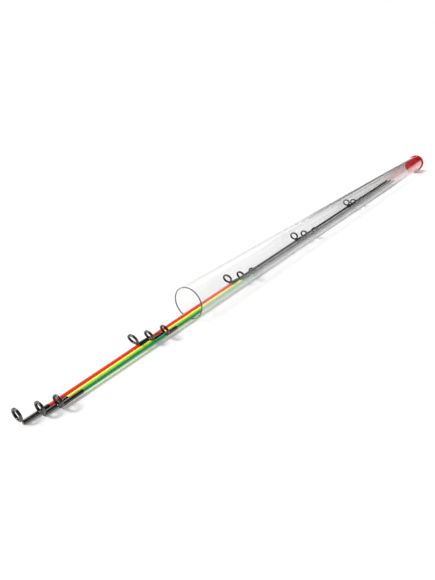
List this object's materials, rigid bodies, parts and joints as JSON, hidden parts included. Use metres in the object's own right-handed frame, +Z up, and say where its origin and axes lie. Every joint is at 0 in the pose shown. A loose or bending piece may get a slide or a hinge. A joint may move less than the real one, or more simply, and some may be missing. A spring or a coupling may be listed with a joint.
{
  "type": "quiver tip set",
  "caption": "Quiver tips for a feeder rod: slim tapered blanks with whipped ring guides and a ring tip-top, lying loose in a clear storage tube with a push-in end plug.",
  "frame": {"origin": "on the surface that the set lies on, under the middle of its length and the tube's axis", "axes": "+X along the tube from its open mouth to the plug, +Z up, +Y toward the red tip's side"},
  "size_m": [0.6082, 0.0214, 0.0213],
  "materials": {
    "clear_tube": "clear, glossy",
    "plug": "moulded red, satin gloss",
    "red_blank": "fluorescent red paint on the outer third, black toward the butt",
    "yellow_blank": "fluorescent yellow paint on the outer third, black toward the butt",
    "green_blank": "green paint on the outer third, black toward the butt",
    "guide_frame": "dark gunmetal plating",
    "ring_insert": "polished black liner",
    "thread": "black thread under clear lacquer"
  },
  "bodies": {
    "tube": {"storage_tube": "clear_tube"},
    "plug": {"end_plug": "plug"},
    "green_tip": {"tip_green_blank": "green_blank", "tip_green_top_frame": "guide_frame", "tip_green_top_ring": "ring_insert", "tip_green_top_binding": "thread", "tip_green_guide_1_frame": "guide_frame", "tip_green_guide_1_ring": "ring_insert", "tip_green_guide_1_whipping": "thread", "tip_green_guide_2_frame": "guide_frame", "tip_green_guide_2_ring": "ring_insert", "tip_green_guide_2_whipping": "thread", "tip_green_guide_3_frame": "guide_frame", "tip_green_guide_3_ring": "ring_insert", "tip_green_guide_3_whipping": "thread", "tip_green_guide_4_frame": "guide_frame", "tip_green_guide_4_ring": "ring_insert", "tip_green_guide_4_whipping": "thread"},
    "yellow_tip": {"tip_yellow_blank": "yellow_blank", "tip_yellow_top_frame": "guide_frame", "tip_yellow_top_ring": "ring_insert", "tip_yellow_top_binding": "thread", "tip_yellow_guide_1_frame": "guide_frame", "tip_yellow_guide_1_ring": "ring_insert", "tip_yellow_guide_1_whipping": "thread", "tip_yellow_guide_2_frame": "guide_frame", "tip_yellow_guide_2_ring": "ring_insert", "tip_yellow_guide_2_whipping": "thread", "tip_yellow_guide_3_frame": "guide_frame", "tip_yellow_guide_3_ring": "ring_insert", "tip_yellow_guide_3_whipping": "thread", "tip_yellow_guide_4_frame": "guide_frame", "tip_yellow_guide_4_ring": "ring_insert", "tip_yellow_guide_4_whipping": "thread"},
    "red_tip": {"tip_red_blank": "red_blank", "tip_red_top_frame": "guide_frame", "tip_red_top_ring": "ring_insert", "tip_red_top_binding": "thread", "tip_red_guide_1_frame": "guide_frame", "tip_red_guide_1_ring": "ring_insert", "tip_red_guide_1_whipping": "thread", "tip_red_guide_2_frame": "guide_frame", "tip_red_guide_2_ring": "ring_insert", "tip_red_guide_2_whipping": "thread", "tip_red_guide_3_frame": "guide_frame", "tip_red_guide_3_ring": "ring_insert", "tip_red_guide_3_whipping": "thread", "tip_red_guide_4_frame": "guide_frame", "tip_red_guide_4_ring": "ring_insert", "tip_red_guide_4_whipping": "thread"}
  },
  "joints": [
    {"name": "tips_slide", "type": "slide", "parent": "tube", "child": "green_tip", "axis": [1, 0, 0], "range_m": [-0.43, 0.012]},
    {"name": "yellow_tip_slide", "type": "slide", "parent": "green_tip", "child": "yellow_tip", "axis": [1, 0, 0], "range_m": [-0.022, 0.004]},
    {"name": "red_tip_slide", "type": "slide", "parent": "yellow_tip", "child": "red_tip", "axis": [1, 0, 0], "range_m": [-0.022, 0.004]},
    {"name": "plug_pull", "type": "slide", "parent": "tube", "child": "plug", "axis": [1, 0, 0], "range_m": [0, 0.025]}
  ]
}
